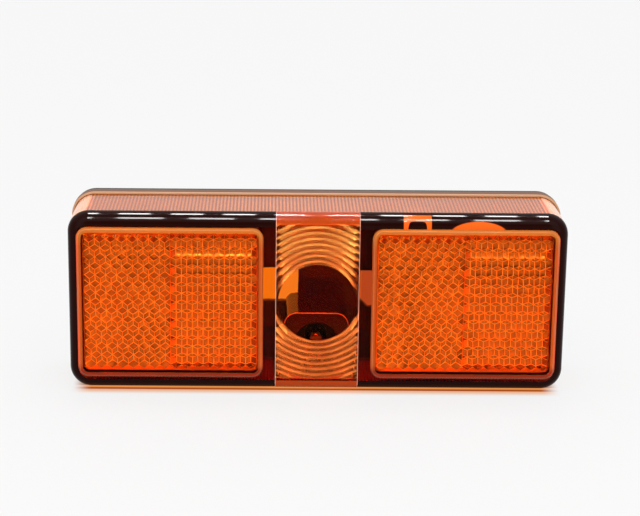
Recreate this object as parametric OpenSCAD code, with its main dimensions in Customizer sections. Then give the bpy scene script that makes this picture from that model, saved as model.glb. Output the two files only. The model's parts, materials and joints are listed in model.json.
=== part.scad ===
// Amber side marker lamp standing on its long edge.
// X runs along the width, the lens looks towards -Y, and Z is up.
// The origin is the centre of the rear mounting face, so the body lies at negative Y.

/* [Lens] */
// Width of the lens across its straight walls
lens_w = 116; // [108:1:140]
// Height of the lens across its straight walls
lens_h = 42.6; // [42:0.2:56]
// Depth of the lens from its front face to the base plate
lens_d = 21.7; // [20:0.1:26]
// Corner radius of the lens seen from the front
corner_r = 5; // [4:0.25:6.5]
// Radius of the rounded front edge
edge_r = 3; // [1.6:0.1:3.2]
// Thickness of the side walls, ribs left out
wall = 2; // [1.6:0.1:2.4]
// Thickness of the front wall
front_t = 2; // [1.6:0.1:2.6]
// How far the rear flange stands out from the walls
flange_lip = 0.6; // [0.3:0.1:1]
// Depth of the rear flange
flange_t = 3.1; // [1.2:0.1:3.6]

/* [Wall ribs] */
// Distance from one rib to the next inside the long walls
rib_pitch = 0.82; // [0.7:0.02:1.6]
// Width of the flat top of a rib, whose two sides stand square to each other
rib_tip = 0.12; // [0.05:0.01:0.2]
// Plain stretch between the ribs and the rim of the base plate
rib_stop = 0.4; // [0.2:0.1:2]

/* [Centre lens] */
// Width of the clear strip between the two reflectors
strip_w = 19.4; // [18.8:0.2:22]
// Thickness of the strip between its rings
strip_t = 1.3; // [1.1:0.1:1.5]
// Diameter of the plain round window
window_d = 18.3; // [16:0.1:18.6]
// Radial distance from one ring to the next
ring_pitch = 1.35; // [1.1:0.05:2.2]
// Tilt of the sloping face of a ring, in degrees from the front
ring_slope = 35; // [32:1:42]
// Tilt of the steep face of a ring, in degrees from the front
ring_steep = 50; // [46:1:58]
// How far the centre strip stands out of the lens front
strip_proud = 0.15; // [0.05:0.05:0.3]

/* [Reflectors] */
// Margin between a reflector and the end of the lens
panel_end = 2.2; // [1.8:0.1:3]
// Margin between a reflector and the centre strip
panel_inner = 2.9; // [2.4:0.1:4]
// Margin between a reflector and the long edges of the lens
panel_side = 3.25; // [3:0.05:5]
// How far a reflector stands out of the lens front
panel_proud = 0.9; // [0.6:0.1:1.4]
// Corner radius of a reflector
panel_r = 2.5; // [2:0.1:3.4]
// Width of the lip that rests on the lens front
panel_lip = 0.6; // [0.5:0.05:0.9]
// Width of the raised border on the front of a reflector
border_w = 1.1; // [0.8:0.1:1.6]
// Depth of the reflector front inside its border
border_h = 0.35; // [0.2:0.05:0.5]
// Width of one corner prism across its flats
prism_w = 2.5; // [2:0.1:3.6]
// Thickness of the reflector's own side wall
skirt_t = 0.7; // [0.5:0.05:0.9]
// Thickness of the cover that closes a reflector from behind
cover_t = 1.2; // [0.8:0.1:2]

/* [Base plate] */
// Thickness of the base plate
base_t = 1.8; // [1.4:0.1:2.4]
// How far the edge of the base plate stays inside the rear flange
base_inset = 0.2; // [0:0.1:0.5]
// Height of the rim that locates the lens
rim_h = 2.2; // [1.4:0.1:2.8]
// Thickness of that rim
rim_t = 1.2; // [0.8:0.1:1.6]
// Diameter of the round opening behind the right reflector
hole_d = 18; // [12:0.5:19]
// Distance of the round opening from the centre
hole_x = 40; // [37:0.5:41]
// Height of the round opening above the centre
hole_z = 5; // [3:0.5:6]
// Width of the opening left of the bulb tower
left_opening_w = 12.5; // [10:0.5:13]
// Height of the opening left of the bulb tower
left_opening_h = 8.4; // [6:0.1:9]
// Distance of that opening's inner edge from the centre
left_opening_edge = 4.2; // [3.8:0.1:5]
// Top edge of that opening above the centre
left_opening_top = 2.7; // [1:0.1:4]
// Width of the opening right of the bulb tower
right_opening_w = 7.5; // [6:0.5:9]
// Height of the opening right of the bulb tower
right_opening_h = 9.3; // [7:0.1:10]
// Distance of that opening's inner edge from the centre
right_opening_edge = 10.9; // [10.4:0.1:12]
// Top edge of that opening above the centre
right_opening_top = 2.2; // [1:0.1:4]
// Width of the latch tongue near the top
tongue_w = 4.4; // [3:0.1:5]
// Length of the latch tongue
tongue_l = 9; // [7:0.5:10]
// Width of the slot round the latch tongue
tongue_slot = 1.2; // [0.8:0.1:1.6]

// Distance of the latch tongue from the edge of the round opening
tongue_edge = 2.9; // [2.2:0.1:4]
// Distance of the tongue's tip from the rim above it
tongue_drop = 4.1; // [3.6:0.1:5]

/* [Bulb tower] */
// Width of the bulb tower
tower_w = 15.2; // [14.6:0.1:16]
// Height of the bulb tower
tower_h = 14.6; // [14.2:0.1:15]
// Corner radius of the bulb tower
tower_r = 3; // [2:0.1:4]
// Distance from the tower's mouth to the lens front wall
tower_gap = 4.5; // [3.5:0.1:6]
// Diameter of the bore through the tower
bore_d = 10; // [9:0.1:10.4]
// Distance from the tower's mouth to the front of the bulb holder
holder_set_back = 7.5; // [6:0.5:9]

/* [Bulb and holder] */
// Diameter of the bulb's glass
bulb_d = 5.2; // [4.8:0.1:5.6]
// Diameter of the holder's flange
holder_flange_d = 12.4; // [11.8:0.1:12.8]
// Width of the brass contacts
contact_w = 2.2; // [1.8:0.1:2.6]
// Thickness of the brass contacts
contact_t = 0.5; // [0.3:0.05:0.6]
// Length of the contact blades behind the holder
blade_l = 6; // [4:0.5:8]

/* [Studs] */
// Thread diameter of the two mounting studs
stud_d = 5; // [4:0.5:6]
// Distance between the two studs
stud_spacing = 60; // [52:1:62]
// Depth of the studs below the centre
stud_drop = 6; // [4:0.5:7]
// Wall of the boss round each stud
stud_boss_wall = 2.5; // [2:0.25:3]
// Length of the studs behind the mounting face
stud_l = 15; // [10:0.5:25]

/* [Fits] */
// Clearance between pieces that slide into each other
fit_gap = 0.15; // [0.05:0.05:0.25]

/* [Hidden] */
$fn = 48;
hull_fn = 32;

// Overlap used where two shapes of one piece are joined, and where a cut runs past a face
joint_overlap = 0.3;
cut_past = 1;

// Depth positions, all measured from the mounting face
front_y = -(lens_d + base_t);
inner_y = front_y + front_t;
base_y = -base_t;
rib_end_y = base_y - rim_h - rib_stop;
flange_y = base_y - flange_t;

// Cavity of the lens: ribbed part in front, plain part behind
rib_h = (rib_pitch - rib_tip) / 2;
cavity_w = lens_w - 2 * wall;
cavity_h = lens_h - 2 * wall;
cavity_r = corner_r - wall;
ribbed_w = cavity_w - 2 * cavity_r;
rib_count = floor(ribbed_w / rib_pitch);

// Reflector sizes
panel_w = lens_w / 2 - panel_end - strip_w / 2 - panel_inner;
panel_h = lens_h - 2 * panel_side;
panel_x = lens_w / 2 - panel_end - panel_w / 2;
panel_y = front_y - panel_proud;
plug_w = panel_w - 2 * panel_lip;
plug_h = panel_h - 2 * panel_lip;
plug_r = panel_r - panel_lip;
plate_y = front_y + front_t * 0.8;
field_y = plate_y + joint_overlap;

// Corner prisms: three square faces of one cube meet at each corner
cell_side = prism_w / sqrt(3);
cell_step = prism_w / 2;
cell_rise = cell_side / sqrt(2);
skirt_room = 0.15;
zone_gap = 0.1;
field_w = plug_w - 2 * (skirt_t + skirt_room) - zone_gap;
field_h = plug_h - 2 * (skirt_t + skirt_room);
zone_columns = floor(field_w / 2 / cell_step);
zone_rows = floor(field_h / cell_side - 0.5);
skirt_y = field_y + 2 * cell_rise + 0.7;

// Base plate
flange_w = lens_w + 2 * flange_lip;
flange_h = lens_h + 2 * flange_lip;
flange_round = 0.8 * flange_lip;
flange_r = corner_r + flange_lip;
plate_w = flange_w - 2 * base_inset;
plate_h = flange_h - 2 * base_inset;
plate_r = flange_r - base_inset;
rim_w = cavity_w - 2 * fit_gap;
rim_hgt = cavity_h - 2 * fit_gap;
rim_r = max(cavity_r - fit_gap, 0.5);
tower_z = -(cavity_h / 2 - fit_gap - rib_h) + tower_h / 2 + 0.1;
tower_y = inner_y + tower_gap;
left_opening_x = -(left_opening_edge + left_opening_w / 2);
right_opening_x = right_opening_edge + right_opening_w / 2;
tongue_x = hole_x - hole_d / 2 - tongue_edge - tongue_slot - tongue_w / 2;
tongue_top = cavity_h / 2 - rim_t - tongue_drop;
knurl_d = stud_d + 0.8;
stud_boss_d = stud_d + 2 * stud_boss_wall;
stud_boss_l = 3.2;

// Bulb holder and bulb, which share the tower's axis
holder_d = bore_d - 2 * fit_gap;
seal_t = 0.6;
holder_flange_t = 1.6;
recess_d = holder_flange_d + 2 * fit_gap;
recess_t = holder_flange_t + seal_t;
holder_nose_y = tower_y + holder_set_back;
grip_l = 4;
grip_w = 8.4;
grip_t = 7.4;
pinch_w = bulb_d - 0.4;
pinch_t = 1.7;
pinch_l = 5;
glass_t = 0.45;
bulb_tip_y = tower_y + 0.4;
bulb_shoulder_y = holder_nose_y + 1.2;
pinch_end_y = bulb_shoulder_y + pinch_l;
lead_r = 0.22;
lead_x = 1.15;
filament_y = bulb_tip_y + 3.4;
filament_r = 0.28;
contact_z = pinch_t / 2;
blade_z = 2.1;
bend_y = pinch_end_y + 0.6;
blade_end_y = grip_l + blade_l;
stud_head_d = stud_d + 2.6;
stud_head_t = 1.4;

// A flat outline in X and Z, drawn out between two depths
module between(y_front, y_back) {
    translate([0, y_back, 0])
        rotate([90, 0, 0])
            linear_extrude(height = y_back - y_front)
                children();
}

// A turned shape whose axis runs along Y, with the front at the top of its profile
module turned() {
    rotate([90, 0, 0])
        rotate_extrude()
            children();
}

// A round rod along Y between two depths
module rod(y_front, y_back, d) {
    translate([0, y_back, 0])
        rotate([90, 0, 0])
            cylinder(h = y_back - y_front, d = d);
}

// A rectangle with round corners
module rounded(w, h, r) {
    square([w - 2 * r, h], center = true);
    square([w, h - 2 * r], center = true);
    for (x = [-1, 1], y = [-1, 1])
        translate([x * (w / 2 - r), y * (h / 2 - r)])
            circle(r);
}

// The four corner places of a rectangle with round corners
module at_corners(w, h, r) {
    for (x = [-1, 1], z = [-1, 1])
        translate([x * (w / 2 - r), 0, z * (h / 2 - r)])
            children();
}

// One ring of an outline, between an outer and an inner rounded rectangle
module frame_outline(w, h, r, t) {
    difference() {
        rounded(w, h, r);
        rounded(w - 2 * t, h - 2 * t, max(r - t, 0.3));
    }
}

// Points of one ribbed long side of the lens cavity, from left to right
function rib_points(z) = [for (i = [0 : rib_count - 1])
    let (x = (i - rib_count / 2) * rib_pitch)
    each [[x, z], [x + rib_h, z - rib_h], [x + rib_h + rib_tip, z - rib_h]]];

// Points of a round corner of the cavity, turned from one angle to the next
function corner_points(x, z, from) = [for (i = [0 : 6])
    let (a = from + i * 15) [x + cavity_r * cos(a), z + cavity_r * sin(a)]];

function reversed(list) = [for (i = [len(list) - 1 : -1 : 0]) list[i]];

// The ribbed cavity outline, counted anticlockwise from the lower left corner
module ribbed_outline() {
    x = cavity_w / 2 - cavity_r;
    z = cavity_h / 2 - cavity_r;
    top = rib_points(cavity_h / 2);
    low = [for (p = top) [p[0], -p[1]]];
    polygon(concat(corner_points(-x, -z, 180), low, corner_points(x, -z, 270),
        corner_points(x, z, 0), reversed(top), corner_points(-x, z, 90)));
}

// A slab with round corners and a round front edge
module soft_slab(w, h, r, edge, y_front, y_back) {
    hull()
        at_corners(w, h, r)
            turned()
                translate([0, -y_front - edge])
                    intersection() {
                        union() {
                            square([r - edge, edge]);
                            translate([r - edge, 0])
                                circle(edge, $fn = hull_fn);
                        }
                        square([r, edge]);
                    }
    between(y_front + edge, y_back)
        rounded(w, h, r);
}

// The outer skin of the lens, with the raised centre strip and the rear flange
module lens_skin() {
    soft_slab(lens_w, lens_h, corner_r, edge_r, front_y, base_y);
    soft_slab(flange_w, flange_h, flange_r, flange_round, flange_y, base_y);
    translate([0, -strip_proud, 0])
        intersection() {
            soft_slab(lens_w, lens_h, corner_r, edge_r, front_y, front_y + edge_r + strip_proud);
            between(front_y - cut_past, inner_y + edge_r)
                square([strip_w, lens_h], center = true);
        }
}

// Profile of the ring lens: a sloping and a steep face per ring
module ring_profile(steep_inside) {
    first = window_d / 2;
    last = norm([strip_w, cavity_h]) / 2;
    count = ceil((last - first) / ring_pitch);
    root = -(front_y + strip_t);
    rise = ring_pitch / (1 / tan(ring_slope) + 1 / tan(ring_steep));
    crest = rise / tan(steep_inside ? ring_steep : ring_slope);
    polygon(concat(
        [[first, root + joint_overlap]],
        [for (i = [0 : count - 1]) each [
            [first + i * ring_pitch, root],
            [first + i * ring_pitch + crest, root - rise]]],
        [[first + count * ring_pitch, root],
         [first + count * ring_pitch, root + joint_overlap]]));
}

// The rings above or below the window, whose steep faces all look down
module half_rings(side) {
    room_h = cavity_h / 2 - rib_h - 0.2;
    intersection() {
        turned()
            ring_profile(side > 0);
        between(front_y + strip_t - joint_overlap, inner_y + cut_past)
            translate([0, side * room_h / 2])
                square([strip_w, room_h], center = true);
    }
}

module lens() {
    color([0.95, 0.42, 0.05, 0.6]) {
        difference() {
            lens_skin();
            between(inner_y, rib_end_y)
                ribbed_outline();
            between(rib_end_y - joint_overlap, base_y + cut_past)
                rounded(cavity_w, cavity_h, cavity_r);
            between(front_y + strip_t, inner_y + cut_past)
                square([strip_w, cavity_h - 2 * rib_h - 0.4], center = true);
            for (side = [-1, 1])
                translate([side * panel_x, 0, 0])
                    between(front_y - cut_past, inner_y + cut_past)
                        rounded(plug_w + 2 * fit_gap, plug_h + 2 * fit_gap, plug_r + fit_gap);
        }
        half_rings(1);
        half_rings(-1);
    }
}

// Height of the prism sheet at one lattice point, counted in steps of the cube
function prism_level(i, j, turn) =
    let (c = (j + (i % 2 == 1 ? 2 : 0)) % 3) turn ? 2 - c : c;

// One zone of corner prisms, seen from behind, over a flat base inside the plate
module prism_zone(columns, rows, turn) {
    count = rows + 1;
    total = (columns + 1) * count;
    spot = [for (i = [0 : columns], j = [0 : rows])
        [i * cell_step, (j + (i % 2) / 2) * cell_side, prism_level(i, j, turn) * cell_rise]];
    base = [for (p = spot) [p[0], p[1], -2 * joint_overlap]];
    sheet = [for (i = [0 : columns - 1], j = [0 : rows - 1])
        let (a = i * count + j, b = a + count)
        each (i % 2 == 0 ? [[a, b, a + 1], [b, b + 1, a + 1]]
                         : [[a, b, b + 1], [a, b + 1, a + 1]])];
    edge = concat(
        [for (i = [0 : columns]) i * count],
        [for (j = [1 : rows]) columns * count + j],
        [for (i = [columns - 1 : -1 : 0]) i * count + rows],
        [for (j = [rows - 1 : -1 : 1]) j]);
    sides = [for (k = [0 : len(edge) - 1])
        let (a = edge[k], b = edge[(k + 1) % len(edge)])
        each [[a, a + total, b], [b, a + total, b + total]]];
    under = [for (t = sheet) [t[0] + total, t[1] + total, t[2] + total]];
    polyhedron(points = concat(spot, base),
        faces = concat([for (t = sheet) reversed(t)], [for (t = sides) reversed(t)], under));
}

// A reflector: bordered front plate, plug, skirt and two zones of prisms turned against each other
module reflex(side) {
    zone_h = (zone_rows + 0.5) * cell_side;
    color([1, 0.5, 0.08, 0.8])
        translate([side * panel_x, 0, 0]) {
            difference() {
                union() {
                    hull() {
                        between(front_y - 0.4, front_y)
                            rounded(panel_w, panel_h, panel_r, $fn = hull_fn);
                        between(panel_y, front_y - 0.2)
                            rounded(panel_w - 0.8, panel_h - 0.8, panel_r - 0.4, $fn = hull_fn);
                    }
                    between(front_y - 0.2, plate_y)
                        rounded(plug_w, plug_h, plug_r);
                }
                between(panel_y - cut_past, panel_y + border_h)
                    rounded(panel_w - 2 * border_w, panel_h - 2 * border_w, panel_r - border_w);
            }
            between(plate_y - joint_overlap, skirt_y)
                frame_outline(plug_w, plug_h, plug_r, skirt_t);
            for (zone = [-1, 1])
                translate([zone * (zone_gap / 2 + zone_columns * cell_step / 2), field_y, 0])
                    translate([-zone_columns * cell_step / 2, 0, zone_h / 2])
                        rotate([-90, 0, 0])
                            prism_zone(zone_columns, zone_rows, zone > 0);
        }
}

module reflex_cover(side) {
    color([0.25, 0.08, 0.02])
        translate([side * panel_x, 0, 0])
            between(skirt_y, skirt_y + cover_t)
                rounded(plug_w, plug_h, plug_r);
}

// The openings of the base plate, and the slot that frees the latch tongue
module base_openings() {
    translate([hole_x, hole_z])
        circle(d = hole_d);
    translate([left_opening_x, left_opening_top - left_opening_h / 2])
        square([left_opening_w, left_opening_h], center = true);
    translate([right_opening_x, right_opening_top - right_opening_h / 2])
        polygon([
            [-right_opening_w / 2 + 2, -right_opening_h / 2],
            [right_opening_w / 2, -right_opening_h / 2],
            [right_opening_w / 2, right_opening_h / 2],
            [-right_opening_w / 2, right_opening_h / 2],
            [-right_opening_w / 2, -right_opening_h / 2 + 2]]);
    translate([tongue_x, tongue_top])
        difference() {
            translate([-tongue_w / 2 - tongue_slot, -tongue_l])
                square([tongue_w + 2 * tongue_slot, tongue_l + 2.2]);
            translate([0, -tongue_l / 2 - 0.5])
                rounded(tongue_w, tongue_l + 1, 1);
        }
}

module base_plate() {
    color([0.05, 0.05, 0.05])
        difference() {
            union() {
                difference() {
                    union() {
                        between(base_y, 0)
                            rounded(plate_w, plate_h, plate_r);
                        between(base_y - rim_h, base_y + joint_overlap)
                            frame_outline(rim_w, rim_hgt, rim_r, rim_t);
                    }
                    between(base_y - cut_past, cut_past)
                        base_openings();
                }
                translate([0, 0, tower_z])
                    between(tower_y, 0)
                        rounded(tower_w, tower_h, tower_r);
                for (side = [-1, 1])
                    translate([side * stud_spacing / 2, 0, -stud_drop])
                        rod(base_y - stud_boss_l, base_y + joint_overlap, stud_boss_d);
            }
            translate([0, 0, tower_z]) {
                rod(tower_y - cut_past, cut_past, bore_d);
                rod(-recess_t, cut_past, recess_d);
            }
            for (side = [-1, 1])
                translate([side * stud_spacing / 2, 0, -stud_drop]) {
                    rod(base_y - stud_boss_l - cut_past, cut_past, knurl_d);
                    rod(base_y - stud_boss_l - cut_past, base_y - stud_boss_l + stud_head_t, stud_head_d);
                }
        }
}

// The bent path of one brass contact, seen from the side, above the bulb's pinch
module contact_outline(spare) {
    start = bulb_shoulder_y + 0.8 - spare;
    polygon([
        [start, contact_z],
        [bend_y, contact_z],
        [bend_y + 1.2, blade_z - contact_t / 2 - spare],
        [blade_end_y + spare * 2, blade_z - contact_t / 2 - spare],
        [blade_end_y + spare * 2, blade_z + contact_t / 2 + spare],
        [bend_y + 1.2 - contact_t / 2 - spare, blade_z + contact_t / 2 + spare],
        [bend_y - contact_t / 2 - spare, contact_z + contact_t + spare],
        [start, contact_z + contact_t + spare]]);
}

// A contact, or the room it needs in the holder when spare is above zero
module contact(side, spare) {
    translate([0, 0, tower_z])
        rotate([0, side > 0 ? 0 : 180, 0])
            translate([-contact_w / 2 - spare, 0, 0])
                rotate([90, 0, 90])
                    linear_extrude(height = contact_w + 2 * spare)
                        contact_outline(spare);
}

module bulb_holder() {
    color([0.09, 0.09, 0.09])
        difference() {
            translate([0, 0, tower_z]) {
                rod(holder_nose_y, -recess_t + joint_overlap, holder_d);
                rod(-holder_flange_t, 0, holder_flange_d);
                rod(-recess_t, -holder_flange_t + joint_overlap, holder_d);
                between(-joint_overlap, grip_l)
                    rounded(grip_w, grip_t, 1);
            }
            translate([0, 0, tower_z]) {
                rod(holder_nose_y - cut_past, bulb_shoulder_y, bulb_d + 2 * fit_gap);
                between(bulb_shoulder_y - cut_past, pinch_end_y + fit_gap)
                    square([pinch_w + 2 * fit_gap, pinch_t], center = true);
            }
            contact(1, 0.05);
            contact(-1, 0.05);
        }
}

module holder_seal() {
    color([0.12, 0.12, 0.12])
        translate([0, 0, tower_z])
            difference() {
                rod(-recess_t, -holder_flange_t, holder_flange_d);
                rod(-recess_t - cut_past, cut_past, holder_d);
            }
}

module bulb_glass() {
    outer_r = bulb_d / 2;
    inner_r = outer_r - glass_t;
    dome_y = bulb_tip_y + outer_r;
    color([0.9, 0.93, 0.95, 0.35])
        translate([0, 0, tower_z])
            difference() {
                union() {
                    translate([0, dome_y, 0])
                        sphere(outer_r);
                    rod(dome_y, bulb_shoulder_y, bulb_d);
                    between(bulb_shoulder_y - joint_overlap, pinch_end_y)
                        square([pinch_w, pinch_t], center = true);
                }
                translate([0, dome_y, 0])
                    sphere(inner_r);
                rod(dome_y, bulb_shoulder_y - glass_t, 2 * inner_r);
                for (x = [-lead_x, lead_x])
                    translate([x, 0, 0])
                        rod(bulb_shoulder_y - glass_t - cut_past, pinch_end_y - 1, 2 * lead_r);
            }
}

module bulb_leads() {
    color([0.7, 0.7, 0.7])
        translate([0, 0, tower_z])
            for (x = [-lead_x, lead_x])
                translate([x, 0, 0])
                    rod(filament_y + filament_r, pinch_end_y - 1, 2 * lead_r);
}

module bulb_filament() {
    color([0.35, 0.35, 0.36])
        translate([0, filament_y, tower_z])
            rotate([0, 90, 0])
                cylinder(h = 2 * lead_x + 2 * lead_r, r = filament_r, center = true);
}

// A mounting stud: head and thicker root bedded in the base plate's boss, thread behind the mounting face
module stud(side) {
    head_y = base_y - stud_boss_l;
    color([0.75, 0.75, 0.77])
        translate([side * stud_spacing / 2, 0, -stud_drop]) {
            rod(head_y, head_y + stud_head_t, stud_head_d);
            rod(head_y + stud_head_t - joint_overlap, 0, knurl_d);
            rod(-joint_overlap, stud_l, stud_d);
        }
}

lens();
reflex(-1);  // reflex_left
reflex(1);  // reflex_right
reflex_cover(-1);  // reflex_cover_left
reflex_cover(1);  // reflex_cover_right
base_plate();
bulb_holder();
holder_seal();
bulb_glass();
bulb_filament();
bulb_leads();
contact(1, 0);  // contact_upper
contact(-1, 0);  // contact_lower
stud(-1);  // stud_left
stud(1);  // stud_right
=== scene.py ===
"""Amber side marker lamp: the finish of every surface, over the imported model.

X runs along the width, the lens looks towards -Y, and Z is up. Lengths are in metres.
"""
import json
import math
import bmesh
import bpy
from mathutils import Matrix, Vector

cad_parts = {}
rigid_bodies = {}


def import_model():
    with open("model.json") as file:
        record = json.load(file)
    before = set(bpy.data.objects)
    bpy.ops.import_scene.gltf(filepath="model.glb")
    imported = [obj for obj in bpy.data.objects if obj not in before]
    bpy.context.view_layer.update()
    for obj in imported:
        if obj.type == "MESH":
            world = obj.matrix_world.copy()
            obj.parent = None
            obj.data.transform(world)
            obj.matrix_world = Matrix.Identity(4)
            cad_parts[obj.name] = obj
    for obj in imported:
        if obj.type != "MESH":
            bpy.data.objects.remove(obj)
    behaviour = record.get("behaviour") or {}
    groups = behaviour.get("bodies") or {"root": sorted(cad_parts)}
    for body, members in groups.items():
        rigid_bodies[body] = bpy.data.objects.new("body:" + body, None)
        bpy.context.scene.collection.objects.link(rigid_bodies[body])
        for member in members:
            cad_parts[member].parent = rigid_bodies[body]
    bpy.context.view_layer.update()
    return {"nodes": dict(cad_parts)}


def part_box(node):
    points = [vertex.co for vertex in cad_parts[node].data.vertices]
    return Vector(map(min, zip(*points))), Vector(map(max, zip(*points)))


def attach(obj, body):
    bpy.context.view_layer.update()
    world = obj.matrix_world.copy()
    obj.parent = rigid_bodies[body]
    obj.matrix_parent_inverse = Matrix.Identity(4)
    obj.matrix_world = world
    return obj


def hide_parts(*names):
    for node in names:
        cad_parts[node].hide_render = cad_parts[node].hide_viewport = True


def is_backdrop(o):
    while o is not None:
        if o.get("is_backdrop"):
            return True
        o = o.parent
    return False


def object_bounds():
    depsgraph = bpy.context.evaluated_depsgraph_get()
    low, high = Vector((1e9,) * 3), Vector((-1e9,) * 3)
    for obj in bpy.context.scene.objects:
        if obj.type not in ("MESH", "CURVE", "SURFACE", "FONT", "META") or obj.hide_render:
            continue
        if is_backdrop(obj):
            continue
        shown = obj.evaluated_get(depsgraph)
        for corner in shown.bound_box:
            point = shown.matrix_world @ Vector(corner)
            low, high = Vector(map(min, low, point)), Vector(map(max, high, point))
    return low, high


for leftover in list(bpy.data.objects):
    bpy.data.objects.remove(leftover)
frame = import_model()

MM = 0.001
PER_MM = 1000

# Camera of the photograph, fitted to the edges and ribs of the lamp: the picture's width, the focal
# length and the column that the camera points at, in pixels, then its place and its angles
PHOTO_W = 640
FOCAL_PX = 1908
CENTRE_PX = 280
SENSOR_W = 36
CAMERA_AT = Vector((-10.57, -448.34, 128.55)) * MM
LOOK_DOWN = math.radians(15.47)
LOOK_ASIDE = math.radians(-0.245)
CAMERA_ROLL = math.radians(0.465)

# Room: brightness of the backdrop, the ceiling, the dark place round the camera and the walls round
# that place
BACKGROUND = 0.9
ROOM_TOP = 1.6
ROOM_CAMERA = 0.47
ROOM_ROUND = 2.1

# Where those parts of the room begin and are reached: the ceiling by the height of a direction, the
# others by how squarely a direction points at the camera's place
CEILING = (0.25, 0.75)
CAMERA_WALLS = (0.45, 0.75)
CAMERA_DARK = (0.93, 0.99)
CAMERA_PLACE = Vector((0, -math.cos(LOOK_DOWN), math.sin(LOOK_DOWN)))

# Rows of narrow lamps: their distance, their depth, and how far they stand to the right
LAMP_FAR = 0.6
LAMP_DEPTH = 0.14
LAMP_SHIFT = 14 * MM

# Floor: its half width, the share of its own shine that is seen, and the share of black in it
FLOOR_HALF = 3.0
FLOOR_SHINE = 0.85
FLOOR_DIM = 0.35
FLOOR_WHITE = (1, 1, 1)
BLACK = (0, 0, 0)

# Painted light: the amber glow that the lens would throw on the floor along its front edge, painted into
# the floor's colour, from under the lamp outwards
PAINTED_GLOW_BRIGHT = (1.0, 0.38, 0.10)
PAINTED_GLOW_DEEP = (0.45, 0.06, 0.0)
PAINTED_GLOW_PALE = (1.0, 0.55, 0.33)

# Where that painted glow begins or ends and its colours change, and where the painted shadow under the
# lamp fades, in millimetres from the lamp's middle sideways, and ahead of its front otherwise
PAINTED_GLOW_SIDES = (53, 58)
PAINTED_GLOW_BACK = (-26, -23)
PAINTED_SHADOW_UNDER_LAMP = (-5.6, -5.2)
BRIGHT_TO_DEEP = (-4.6, -3.2)
DEEP_TO_PALE = (-3.0, -2.4)
PALE_TO_WHITE = (-2.4, 1.0)

# Amber plastic as white light looks after one wall, the rim round the front painted dark for the
# black base behind it, with places of painted orange light, and the covers of the prisms
AMBER = (0.97, 0.17, 0.003)
AMBER_PRISM = (0.98, 0.155, 0.008)
AMBER_PATCH = (0.5, 0.06, 0.01)
RIM_PAINTED_DARK = (0.010, 0.0012, 0.0006)
RIM_PAINTED_GLOW = (0.78, 0.10, 0.008)
COVER_DARK = (0.012, 0.010, 0.010)
COVER_PALE = (0.95, 0.62, 0.40)

# Places of painted light in the rim, where the base's round hole, and its slot with the latch tongue,
# would let light show through: the centre and half the size across and up, in millimetres. Half the
# width of their soft edges is in millimetres for the slot, and a share of the size for the hole and the
# tongue
HOLE_AT = (37.0, 17.2)
HOLE_HALF = (6.4, 2.6)
SLOT_X = 22.9
SLOT_HALF = 3.2
SLOT_TOP = 20.95
TONGUE_Z = 15
TONGUE_HALF = (2.2, 4.8)
SOFT_EDGE = 0.1

# Darker patch of the front wall beside the right reflector, in millimetres
PATCH_LEFT = (9.7, 10.3)
PATCH_FOOT = (-2, -1)
PATCH_TOP = (8.5, 9.5)

# Heights at which painted light turns the strip yellower, and at which painted light and painted shade
# make the reflectors' lips brighter or darker
STRIP_PAINTED_LIGHT = (9 * MM, 14 * MM)
LIP_PAINTED_LIGHT = (13 * MM, 17 * MM)
LIP_PAINTED_SHADE = (-16.5 * MM, -14.5 * MM)

# Grain of the finishes: how many waves lie on a metre, and the levels of detail in them
POLISH = (120, 2)
MOULD_WAVES = (320, 3)
MOULD_GRAIN = (2500, 3)
COVER_GRAIN = (900, 2)
METAL_GRAIN = (3000, 2)
GLASS_POLISH = (300, 2)

# Height of the waves and of the grain
WAVE_HEIGHT = 0.3 * MM
GRAIN_HEIGHT = 0.02 * MM
METAL_GRAIN_HEIGHT = 0.01 * MM

# Lens: pitch of the ribs inside the long walls, half the width of the raised strip and of what is
# taken for it on the front edge, and the depth and width of the painted highlight line along its sides
RIB_PITCH = 0.82 * MM
HALF_STRIP = 9.7 * MM
HALF_STRIP_EDGE = 9.65 * MM
STRIP_DEPTH = 3.0 * MM
STRIP_BEAD = 0.09 * MM

# Lens: how far the round corners, the round front edge and the long walls reach in from the outline
# of the flange, how deep the front edge and the flange are, and the radius outside which a face is
# on the flange
CORNER_REACH = 5.6 * MM
EDGE_REACH = 4.0 * MM
WALL_REACH = 0.7 * MM
EDGE_DEPTH = 3.3 * MM
FLANGE_ROUND = 5.03 * MM

# Lens: how far the flat front may lie behind the strip, and the height down to which the dark rim
# reaches on it, just behind the top of the reflectors
FRONT_STEP = 0.2 * MM
RIM_FOOT = 17.9 * MM

# Base plate: how far its outer wall reaches in, the depth of its rear face, and the width of the
# painted highlight line round the tower's mouth
BASE_WALL = 1.5 * MM
BASE_REAR = 0.1 * MM
MOUTH_BEAD = 0.12 * MM

# Reflectors: where the prisms start behind the front, the radius that moulding leaves on their
# edges, and the depth of the border's face, of the lip and of the painted highlight line round it
PRISM_START = 2.3 * MM
PRISM_ROUND = 0.08 * MM
BORDER_DEPTH = 0.15 * MM
LIP_DEPTH = 0.95 * MM
LIP_BEAD = 0.1 * MM

# Thread of the studs: its pitch and turns, the pitches left plain at the tip, and the share of the
# radius that stays in the grooves
THREAD_PITCH = 0.8 * MM
THREAD_TURNS = 17
THREAD_TIP = 0.75
THREAD_CORE = 0.84

# Tolerances for faces and points that lie on a plane of the model, and for points that are one
ON_PLANE = 0.01 * MM
NEAR_PLANE = 0.05 * MM
SAME_POINT = 0.001 * MM

# A face looks along an axis where its normal has at least this share of it, and stands along the
# axis where its normal has less than that one
LOOKS = 0.9
STANDS = 0.1


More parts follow.
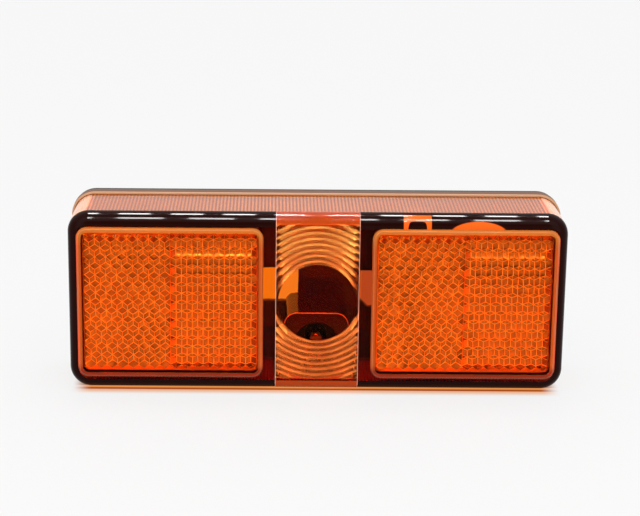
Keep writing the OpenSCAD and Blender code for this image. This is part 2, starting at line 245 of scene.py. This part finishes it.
class Sock:
    """A node's output with Python's operators, so that shader maths reads as maths."""

    def __init__(self, finish, socket):
        self.finish, self.socket = finish, socket

    def _math(self, operation, *values, clamp=False):
        return self.finish.node("ShaderNodeMath", {"operation": operation, "use_clamp": clamp}, *values)

    def __add__(self, other):
        return self._math("ADD", self, other)

    def __radd__(self, other):
        return self._math("ADD", other, self)

    def __sub__(self, other):
        return self._math("SUBTRACT", self, other)

    def __rsub__(self, other):
        return self._math("SUBTRACT", other, self)

    def __mul__(self, other):
        return self._math("MULTIPLY", self, other)

    def __rmul__(self, other):
        return self._math("MULTIPLY", other, self)

    def __lt__(self, other):
        return self._math("LESS_THAN", self, other)

    def __abs__(self):
        return self._math("ABSOLUTE", self)

    def power(self, other):
        return self._math("POWER", self, other)

    def cosine(self):
        return self._math("COSINE", self)

    def clamp(self):
        return self._math("ADD", self, 0.0, clamp=True)


class Finish:
    """One node tree, of a material or of the world, built up by its helpers."""

    def __init__(self, name, world=False, **settings):
        made = bpy.data.worlds.new(name) if world else bpy.data.materials.new(name)
        made.use_nodes = True
        self.made = made
        self.tree = made.node_tree
        self.shader = self.tree.nodes["Background" if world else "Principled BSDF"]
        for socket, value in settings.items():
            self.shader.inputs[socket.replace("_", " ")].default_value = value

    def node(self, kind, settings, *values, out=0, **named):
        """A node with its settings, fed by place and by name; gives one of its outputs."""
        made = self.tree.nodes.new(kind)
        for key, value in settings.items():
            setattr(made, key, value)
        for place, value in enumerate(values):
            self.feed(made.inputs[place], value)
        for name, value in named.items():
            self.feed(made.inputs[name.replace("_", " ")], value)
        return Sock(self, made.outputs[out])

    def feed(self, socket, value):
        if isinstance(value, Sock):
            self.tree.links.new(value.socket, socket)
        else:
            socket.default_value = value

    def set(self, name, value):
        self.feed(self.shader.inputs[name], value)

    def noise(self, scale, detail):
        place = self.node("ShaderNodeTexCoord", {}, out="Object")
        return self.node("ShaderNodeTexNoise", {}, Vector=place, Scale=scale, Detail=detail)

    def ramp(self, value, start, end, before, after):
        """Goes smoothly from one number to another between two values."""
        return self.node("ShaderNodeMapRange", {"interpolation_type": "SMOOTHSTEP"}, value, start, end,
                         before, after)

    def axis(self, letter, source="Object"):
        """One coordinate of a point, or of a direction."""
        place = self.node("ShaderNodeTexCoord", {}, out=source)
        return self.node("ShaderNodeSeparateXYZ", {}, place, out=letter)

    def blend(self, first, second, share):
        """A colour between two others."""
        mix = self.node("ShaderNodeMix", {"data_type": "RGBA"}, Factor=share)
        inputs = mix.socket.node.inputs
        for socket, value in ((inputs[6], first), (inputs[7], second)):
            self.feed(socket, value if isinstance(value, Sock) else (*value, 1))
        return Sock(self, mix.socket.node.outputs[2])

    def bump(self, height, strength, distance):
        self.set("Normal", self.node("ShaderNodeBump", {}, Strength=strength, Distance=distance,
                                     Height=height))

    def rounded_spot(self, centre, half, squareness):
        """1 inside an outline in X and Z, in millimetres, and 0 outside; 2 makes it an oval."""
        across = (self.axis("X") * PER_MM - centre[0]) * (1 / half[0])
        height = (self.axis("Z") * PER_MM - centre[1]) * (1 / half[1])
        reach = across.power(squareness) + height.power(squareness)
        return self.ramp(reach, 1 - SOFT_EDGE, 1 + SOFT_EDGE, 1, 0)

    def light_path(self, name):
        return self.node("ShaderNodeLightPath", {}, out=name)


def amber(name, colour, clear=1.0, tint=0.05, rough=0.0, waves=0.0, ior=1.49):
    """Amber plastic; the share that isn't clear scatters light inside the wall."""
    finish = Finish(name, Base_Color=(*colour, 1), IOR=ior, Transmission_Weight=clear,
                    Specular_Tint=(tint, tint, tint, 1))
    finish.set("Roughness", rough + 0.02 * finish.noise(*POLISH))
    if waves:
        finish.bump(finish.noise(*MOULD_WAVES), waves, WAVE_HEIGHT)
    return finish


def ribbed_amber(name, light, dark, pitch):
    """A wall with ribs on its inner side, with light and dark lines painted across it for the light and
    shade that the ribs make.
    """
    finish = amber(name, light, clear=0.65)
    # Painted light and shade: light and dark lines at the pitch of the ribs
    line = 0.5 + 0.5 * (finish.axis("X") * (2 * math.pi / pitch)).cosine()
    finish.set("Base Color", finish.blend(light, dark, line))
    return finish


def strip_amber(name, lower, upper):
    """The wavy front of the strip, with painted light making it yellower towards its top."""
    finish = amber(name, lower, waves=0.12)
    # Painted light: the strip turns yellower towards its top
    share = finish.ramp(finish.axis("Z"), *STRIP_PAINTED_LIGHT, 0, 1)
    finish.set("Base Color", finish.blend(lower, upper, share))
    return finish


def lip_amber(name, top, side, bottom):
    """The border round a reflector, with painted light making it bright towards the top and painted shade
    making it dark at the foot.
    """
    finish = amber(name, side, clear=0.6, tint=0.1, rough=0.02)
    height = finish.axis("Z")
    # Painted light towards the top, painted shade towards the foot
    upper = finish.blend(side, top, finish.ramp(height, *LIP_PAINTED_LIGHT, 0, 1))
    finish.set("Base Color", finish.blend(bottom, upper, finish.ramp(height, *LIP_PAINTED_SHADE, 0, 1)))
    return finish


def front_amber(name, colour, darker):
    """The clear wall, with a darker patch beside the right reflector."""
    finish = amber(name, colour)
    across = finish.axis("X") * PER_MM
    height = finish.axis("Z") * PER_MM
    patch = (finish.ramp(across, *PATCH_LEFT, 0, 1) * finish.ramp(height, *PATCH_FOOT, 0, 1)
             * finish.ramp(height, *PATCH_TOP, 1, 0))
    finish.set("Base Color", finish.blend(colour, darker, patch))
    return finish


def black(name, rough, level=0.3, colour=(0.010, 0.009, 0.009), grain_strength=0.05):
    """Moulded plastic or rubber with a fine grain."""
    finish = Finish(name, Base_Color=(*colour, 1), Specular_IOR_Level=level)
    grain = finish.noise(*MOULD_GRAIN)
    finish.set("Roughness", rough + 0.1 * rough * grain)
    finish.bump(grain, grain_strength, GRAIN_HEIGHT)
    return finish


def rim_finish():
    """Painted dark for the black base behind the amber, with painted orange light where the base's slot
    and round hole would show.
    """
    finish = black("amber rim painted dark with painted glow", 0.03, level=0.04, colour=RIM_PAINTED_DARK, grain_strength=0.01)
    from_slot = abs(finish.axis("X") * PER_MM - SLOT_X)
    height = finish.axis("Z") * PER_MM
    slot = (finish.ramp(from_slot, SLOT_HALF - SOFT_EDGE, SLOT_HALF + SOFT_EDGE, 1, 0)
            * finish.ramp(height, SLOT_TOP - SOFT_EDGE, SLOT_TOP + SOFT_EDGE, 1, 0))
    upper_half = finish.ramp(height, 0, 1, 0, 1)
    tongue = finish.rounded_spot((SLOT_X, TONGUE_Z), TONGUE_HALF, 6)
    hole = finish.rounded_spot(HOLE_AT, HOLE_HALF, 2)
    # Painted light: orange at the hole and the slot, but not on the tongue
    finish.set("Base Color", finish.blend(RIM_PAINTED_DARK, RIM_PAINTED_GLOW, hole + slot * upper_half * (1 - tongue)))
    return finish


def metal(name, colour, rough):
    finish = Finish(name, Base_Color=(*colour, 1), Metallic=1.0)
    grain = finish.noise(*METAL_GRAIN)
    finish.set("Roughness", rough + 0.1 * grain)
    finish.bump(grain, 0.05, METAL_GRAIN_HEIGHT)
    return finish


def cover_finish():
    """Dark, and pale on the front face, which the prisms stand before."""
    finish = Finish("prism cover", Roughness=0.5, Specular_IOR_Level=0.2)
    front_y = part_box("reflex_cover_left")[0].y
    front = finish.axis("Y") < front_y + 0.02 * MM
    finish.set("Base Color", finish.blend(COVER_DARK, COVER_PALE, front))
    finish.bump(finish.noise(*COVER_GRAIN), 0.1, GRAIN_HEIGHT)
    return finish


def clear_glass():
    finish = Finish("clear glass", Base_Color=(0.6, 0.6, 0.6, 1), IOR=1.5, Transmission_Weight=1.0)
    finish.set("Roughness", 0.02 * finish.noise(*GLASS_POLISH))
    return finish


# Finishes of the CAD nodes that show as they are
LEAD_WIRE = metal("lead wire", (0.6, 0.6, 0.6), 0.3)
BRASS = metal("brass contact", (0.8, 0.6, 0.3), 0.3)
PRISM_COVER = cover_finish()
NODE_FINISHES = {
    "bulb_holder": black("black holder", 0.5),
    "holder_seal": black("rubber seal", 0.7),
    "bulb_glass": clear_glass(),
    "bulb_filament": LEAD_WIRE,
    "bulb_leads": LEAD_WIRE,
    "contact_upper": BRASS,
    "contact_lower": BRASS,
    "reflex_cover_left": PRISM_COVER,
    "reflex_cover_right": PRISM_COVER,
}

# Finishes of the pieces that stand for a CAD node, by the part of the piece that they cover
LENS_FINISHES = {
    "front": front_amber("amber lens", AMBER, AMBER_PATCH),
    "rim": rim_finish(),
    "ribbed wall": ribbed_amber("amber wall with painted rib light and shade", (1.0, 0.29, 0.05), (0.42, 0.05, 0.0), RIB_PITCH),
    "strip edge": amber("amber strip edge", (0.8, 0.1, 0.012), clear=0.6, rough=0.03, ior=1.25),
    "flange": amber("amber flange", (0.17, 0.09, 0.06), clear=0.1, rough=0.4, ior=1.1),
    # Painted highlight: the front of the flange's step is pale
    "flange step highlight": amber("painted highlight on the flange step", (0.42, 0.22, 0.12), clear=0, rough=0.4, ior=1.2),
    "strip front": strip_amber("amber strip front", (1.0, 0.23, 0.04), (1.0, 0.36, 0.07)),
    # Painted reflection: the corners are paler than the amber, as if white light shone off them
    "corner": amber("frosted amber corners painted paler", (0.95, 0.5, 0.3), clear=0.5, rough=0.15),
    # Painted light: the rings are paler than the lens's amber
    "ring": amber("amber rings painted lighter", (1.0, 0.5, 0.2), clear=0.94),
    # Painted highlight: pale lines along the strip's edges
    "strip highlight": amber("painted highlights along the strip", (1.0, 0.5, 0.35), clear=0, rough=0.4),
}
BASE_FINISHES = {
    "outside": black("black base", 0.45, level=0.1),
    "inside": black("black base inside", 0.05, level=0.35, colour=(0.025, 0.001, 0.001),
                    grain_strength=0.003),
    # Painted highlight: pale line round the tower's mouth
    "mouth highlight": black("painted highlight round the tower's mouth", 0.3, level=0.5, colour=(0.7, 0.65, 0.6)),
}
REFLECTOR_FINISHES = {
    "front": amber("amber prisms", AMBER_PRISM),
    "skirt outside": black("black cover edge", 0.4),
    # Painted highlight: the rounded prism edges are pale
    "prism edge": amber("rounded prism edges painted pale as highlights", (1.0, 0.92, 0.85), clear=0, rough=0.5),
    "lip": lip_amber("amber lips", (1.0, 0.26, 0.03), (0.95, 0.14, 0.015), (0.45, 0.04, 0.01)),
    "skirt inside": amber("pale skirt inside", (0.45, 0.28, 0.16), clear=0, rough=0.5),
    # Painted light: the prism backs are paler than the prisms' amber
    "prism back": amber("amber prism backs painted lighter", (1.0, 0.62, 0.22), clear=0.95),
    # Painted highlight: a light line round the lips, with the lips' painted light and shade
    "lip highlight": lip_amber("painted highlight line round the lips", (1.0, 0.42, 0.16), (1.0, 0.3, 0.11),
                          (0.5, 0.12, 0.06)),
}
STUD_FINISHES = {"zinc": metal("zinc stud", (0.36, 0.36, 0.375), 0.35)}


def merged_copy(node_name):
    """The CAD node's mesh with its loose triangles joined, as a bmesh to be finished."""
    bm = bmesh.new()
    bm.from_mesh(frame["nodes"][node_name].data)
    bmesh.ops.remove_doubles(bm, verts=bm.verts, dist=SAME_POINT)
    bmesh.ops.dissolve_limit(bm, angle_limit=math.radians(0.5), verts=bm.verts, edges=bm.edges)
    return bm


def paint(faces, finishes, part):
    """Gives faces the finish of one part of the piece."""
    number = list(finishes).index(part)
    for face in faces:
        face.material_index = number


def bead(bm, edges, width):
    """Takes a flat bevel off the edges and gives its faces."""
    return bmesh.ops.bevel(bm, geom=edges, offset=width, offset_type="OFFSET", segments=1, profile=0.5,
                           affect="EDGES", material=-1, clamp_overlap=True)["faces"]


def piece(bm, name, finishes, node_name, angle=26):
    """Turns a bmesh into a piece that stands for a CAD node, smooth where it is round."""
    for face in bm.faces:
        face.smooth = True
    for edge in bm.edges:
        edge.smooth = edge.calc_face_angle(0) < math.radians(angle)
    mesh = bpy.data.meshes.new(name)
    bm.to_mesh(mesh)
    bm.free()
    for finish in finishes.values():
        mesh.materials.append(finish.made)
    made = bpy.data.objects.new(name, mesh)
    bpy.context.scene.collection.objects.link(made)
    flat_faces = made.modifiers.new("flat faces stay flat", "WEIGHTED_NORMAL")
    flat_faces.keep_sharp = True
    flat_faces.weight = 100
    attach(made, "root")
    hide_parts(node_name)


def lens_part(face, low, high):
    """The part of the lens that a face is on, by its place and by the way it looks."""
    centre = face.calc_center_median()
    normal = face.normal
    looks_forward = normal.y < -LOOKS
    slants_forward = -0.98 < normal.y < -0.02
    slants_back = STANDS < normal.y < 0.97
    behind_strip = centre.y - low.y
    from_side = abs(centre.x) - high.x
    from_top = abs(centre.z) - high.z
    from_corner = math.hypot(max(from_side + CORNER_REACH, 0), max(from_top + CORNER_REACH, 0))
    if from_corner > FLANGE_ROUND and centre.y > high.y - EDGE_DEPTH and normal.y < LOOKS:
        return "flange step highlight" if normal.y < -0.05 else "flange"
    if behind_strip < EDGE_DEPTH and slants_forward and max(from_side, from_top) > -EDGE_REACH:
        on_strip = abs(centre.x) < HALF_STRIP_EDGE and abs(normal.z) > STANDS
        return "strip edge" if on_strip else "rim"
    if from_top > -WALL_REACH and abs(normal.z) > LOOKS:
        return "ribbed wall"
    if behind_strip < NEAR_PLANE and looks_forward:
        return "strip front"
    if behind_strip < FRONT_STEP and looks_forward and centre.z > RIM_FOOT:
        return "rim"
    if min(from_side, from_top) > -CORNER_REACH and abs(normal.y) < STANDS:
        return "corner"
    if behind_strip < EDGE_DEPTH and slants_back and abs(centre.x) < HALF_STRIP:
        return "ring"
    return "front"


def lens():
    """The lens, with a finish for each part and painted highlight lines along the edges of its raised
    strip.
    """
    bm = merged_copy("lens")
    low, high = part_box("lens")

    def on_strip_side(face):
        from_edge = abs(face.calc_center_median().x) - HALF_STRIP
        return abs(face.normal.x) > LOOKS and abs(from_edge) < ON_PLANE

    def on_upper_front(face):
        centre = face.calc_center_median()
        return face.normal.y < -0.99 and centre.z > 0 and abs(centre.y - low.y) < FRONT_STEP

    lines = [edge for edge in bm.edges if edge.is_convex and len(edge.link_faces) == 2
             and sum(on_strip_side(face) for face in edge.link_faces) == 1
             and all(vert.co.y < low.y + STRIP_DEPTH for vert in edge.verts)]
    line_faces = bead(bm, lines, STRIP_BEAD)
    front = [face for face in bm.faces if on_upper_front(face)]
    around = dict.fromkeys(part for face in front for part in (*face.edges, *face.verts))
    bmesh.ops.bisect_plane(bm, geom=[*front, *around], plane_co=(0, 0, RIM_FOOT), plane_no=(0, 0, 1))
    for face in bm.faces:
        paint([face], LENS_FINISHES, lens_part(face, low, high))
    # Painted highlight lines along the strip's edges
    paint(line_faces, LENS_FINISHES, "strip highlight")
    piece(bm, "lens_body", LENS_FINISHES, "lens")


def base_plate():
    """The base plate: matt outside, glossy inside, with a painted highlight line round the tower's mouth.
    """
    bm = merged_copy("base_plate")
    low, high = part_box("base_plate")

    def round_mouth(edge):
        return (all(abs(vert.co.y - low.y) < ON_PLANE for vert in edge.verts)
                and any(abs(face.normal.y) < STANDS for face in edge.link_faces))

    mouth = bead(bm, [edge for edge in bm.edges if round_mouth(edge)], MOUTH_BEAD)
    middle = sum((face.calc_center_median() for face in mouth), Vector()) / len(mouth)
    for face in bm.faces:
        centre = face.calc_center_median()
        inside = (abs(centre.z) < high.z - BASE_WALL and abs(centre.x) < high.x - BASE_WALL
                  and centre.y < high.y - BASE_REAR)
        paint([face], BASE_FINISHES, "inside" if inside else "outside")
    # Painted highlight on the outer faces of the mouth's bevel
    for face in mouth:
        outward = face.normal.dot(face.calc_center_median() - middle) > 0
        paint([face], BASE_FINISHES, "mouth highlight" if outward else "inside")
    piece(bm, "base_plate_body", BASE_FINISHES, "base_plate")


def reflector(side):
    """A reflector: prism edges rounded as moulding leaves them and painted pale as highlights, and a
    painted highlight line round its lip.
    """
    name = "reflex_" + side
    bm = merged_copy(name)
    low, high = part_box(name)
    middle = (low + high) / 2
    prism_start = low.y + PRISM_START

    def on_prism(face):
        return 0.5 < abs(face.normal.y) < 0.65 and face.calc_center_median().y > prism_start

    def looks_out(face):
        return (face.calc_center_median() - middle).dot(face.normal) > 0

    def on_contour(edge):
        return (all(vert.co.y < low.y + ON_PLANE for vert in edge.verts)
                and any(abs(face.normal.y) < 0.95 and looks_out(face) for face in edge.link_faces))

    contour = [edge for edge in bm.edges if on_contour(edge)]
    prism_edges = [edge for edge in bm.edges
                   if edge.link_faces and all(on_prism(face) for face in edge.link_faces)]
    rounded = bead(bm, prism_edges, PRISM_ROUND)
    # Painted highlight on the rounded prism edges
    paint(rounded, REFLECTOR_FINISHES, "prism edge")
    rounded = set(rounded)
    for face in bm.faces:
        centre = face.calc_center_median()
        on_border = centre.y < low.y + BORDER_DEPTH and face.normal.y < -LOOKS
        on_lip = centre.y < low.y + LIP_DEPTH and abs(face.normal.y) < 0.95
        at_rear = any(vert.co.y > high.y - NEAR_PLANE for vert in face.verts)
        if on_border or on_lip:
            paint([face], REFLECTOR_FINISHES, "lip")
        elif at_rear and abs(face.normal.y) < STANDS:
            paint([face], REFLECTOR_FINISHES, "skirt outside" if looks_out(face) else "skirt inside")
        elif face not in rounded and centre.y > prism_start:
            paint([face], REFLECTOR_FINISHES, "prism back")
    # Painted highlight line round the lip
    paint(bead(bm, contour, LIP_BEAD), REFLECTOR_FINISHES, "lip highlight")
    piece(bm, "reflector_" + side, REFLECTOR_FINISHES, name, angle=34)


def stud(side):
    """A mounting stud with its rolled thread, cut as grooves into the plain rod."""
    name = "stud_" + side
    bm = merged_copy(name)
    low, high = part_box(name)
    axis = (low + high) / 2
    start = high.y - (THREAD_TURNS + THREAD_TIP) * THREAD_PITCH
    grooves = []
    for cut in range(2 * THREAD_TURNS + 1):
        made = bmesh.ops.bisect_plane(bm, geom=[*bm.verts, *bm.edges, *bm.faces], dist=SAME_POINT,
                                      plane_co=(0, start + cut * THREAD_PITCH / 2, 0), plane_no=(0, 1, 0))
        if cut % 2:
            grooves += [part for part in made["geom_cut"] if isinstance(part, bmesh.types.BMVert)]
    bmesh.ops.scale(bm, vec=(THREAD_CORE, 1, THREAD_CORE), space=Matrix.Translation(-axis), verts=grooves)
    bm.normal_update()
    piece(bm, name + "_threaded", STUD_FINISHES, name, angle=50)


def dress_cad_nodes():
    for name, finish in NODE_FINISHES.items():
        materials = frame["nodes"][name].data.materials
        materials.clear()
        materials.append(finish.made)


def camera():
    data = bpy.data.cameras.new("camera")
    data.sensor_width = SENSOR_W
    data.lens = FOCAL_PX / PHOTO_W * SENSOR_W
    data.shift_x = (PHOTO_W / 2 - CENTRE_PX) / PHOTO_W
    data.clip_start = 10 * MM
    made = bpy.data.objects.new("camera", data)
    bpy.context.scene.collection.objects.link(made)
    made.matrix_world = (Matrix.Translation(CAMERA_AT) @ Matrix.Rotation(LOOK_ASIDE, 4, "Z")
                         @ Matrix.Rotation(math.pi / 2 - LOOK_DOWN, 4, "X")
                         @ Matrix.Rotation(CAMERA_ROLL, 4, "Z"))
    bpy.context.scene.camera = made


def floor_finish(front_y):
    """White that shines by itself where it is seen, with a painted amber glow along the lamp's front and
    a painted shadow that takes its shine away under the lamp.
    """
    finish = Finish("white floor", Roughness=0.6)
    ahead = (front_y - finish.axis("Y")) * PER_MM
    aside = abs(finish.axis("X")) * PER_MM
    # Painted light: an amber glow blended into the floor's colour along the lamp's front
    near = finish.ramp(aside, *PAINTED_GLOW_SIDES, 1, 0) * finish.ramp(ahead, *PAINTED_GLOW_BACK, 0, 1)
    orange = finish.blend(PAINTED_GLOW_BRIGHT, PAINTED_GLOW_DEEP, finish.ramp(ahead, *BRIGHT_TO_DEEP, 0, 1))
    pale = finish.blend(PAINTED_GLOW_PALE, FLOOR_WHITE, finish.ramp(ahead, *PALE_TO_WHITE, 0, 1))
    glow = finish.blend(orange, pale, finish.ramp(ahead, *DEEP_TO_PALE, 0, 1))
    colour = finish.blend(FLOOR_WHITE, glow, near)
    # Painted shadow: the floor's own shine fades out under the lamp
    under = finish.ramp(ahead, *PAINTED_SHADOW_UNDER_LAMP, 1, 0) * near
    finish.set("Base Color", finish.blend(colour, BLACK, FLOOR_DIM))
    shine = finish.node("ShaderNodeEmission", {}, Color=finish.blend(colour, BLACK, under),
                        Strength=BACKGROUND)
    seen = (finish.light_path("Is Camera Ray") + finish.light_path("Is Glossy Ray")
            + finish.light_path("Is Transmission Ray")).clamp()
    surface = finish.node("ShaderNodeMixShader", {}, seen * FLOOR_SHINE,
                          Sock(finish, finish.shader.outputs[0]), shine)
    finish.feed(finish.tree.nodes["Material Output"].inputs["Surface"], surface)
    return finish


def floor():
    """White floor under the lamp, which keeps the lamp's shadow, with a painted amber glow along the
    lamp's front.
    """
    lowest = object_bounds()[0]
    bm = bmesh.new()
    bmesh.ops.create_grid(bm, x_segments=1, y_segments=1, size=FLOOR_HALF)
    bmesh.ops.translate(bm, vec=(0, 0, lowest.z), verts=bm.verts)
    mesh = bpy.data.meshes.new("floor")
    bm.to_mesh(mesh)
    bm.free()
    made = bpy.data.objects.new("floor", mesh)
    bpy.context.scene.collection.objects.link(made)
    mesh.materials.append(floor_finish(lowest.y).made)
    made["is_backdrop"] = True


def world():
    """An even white room for camera rays; for others, brighter above and dark round the camera."""
    finish = Finish("studio", world=True, Color=(1, 1, 1, 1))
    towards = finish.node("ShaderNodeTexCoord", {}, out="Generated")
    facing = finish.node("ShaderNodeVectorMath", {"operation": "DOT_PRODUCT"}, towards,
                         tuple(CAMERA_PLACE), out="Value")
    above = finish.ramp(finish.axis("Z", "Generated"), *CEILING, 0, 1)
    around = finish.ramp(facing, *CAMERA_WALLS, 0, 1)
    dark = finish.ramp(facing, *CAMERA_DARK, 0, 1)
    walls = above * (ROOM_TOP - BACKGROUND) + around * (ROOM_ROUND - BACKGROUND)
    change = walls * (1 - dark) + dark * (ROOM_CAMERA - BACKGROUND)
    finish.set("Strength", BACKGROUND + (1 - finish.light_path("Is Camera Ray")) * change)
    bpy.context.scene.world = finish.made


def light_row(name, elevation, count, pitch, length, radiance):
    """A row of short lamps along X that glossy edges mirror as a broken line."""
    tilt = math.radians(elevation)
    for number in range(count):
        data = bpy.data.lights.new(name, "AREA")
        data.shape = "RECTANGLE"
        data.size = length * MM
        data.size_y = LAMP_DEPTH
        data.energy = radiance * math.pi * data.size * data.size_y
        made = bpy.data.objects.new(name, data)
        bpy.context.scene.collection.objects.link(made)
        across = (number - (count - 1) / 2) * pitch * MM + LAMP_SHIFT
        made.location = (across, -LAMP_FAR * math.cos(tilt), LAMP_FAR * math.sin(tilt))
        made.rotation_euler = (Vector((across, 0, 0)) - made.location).to_track_quat("-Z", "Y").to_euler()
        made.visible_diffuse = False


light_row("row of lamps behind", elevation=102.5, count=10, pitch=28.3, length=17, radiance=220)
light_row("row of lamps in front", elevation=58.5, count=8, pitch=38, length=24, radiance=190)
dress_cad_nodes()
base_plate()
lens()
for end in ("left", "right"):
    reflector(end)
for end in ("left", "right"):
    stud(end)
camera()
floor()
world()

bpy.context.scene.view_settings.view_transform = "Standard"
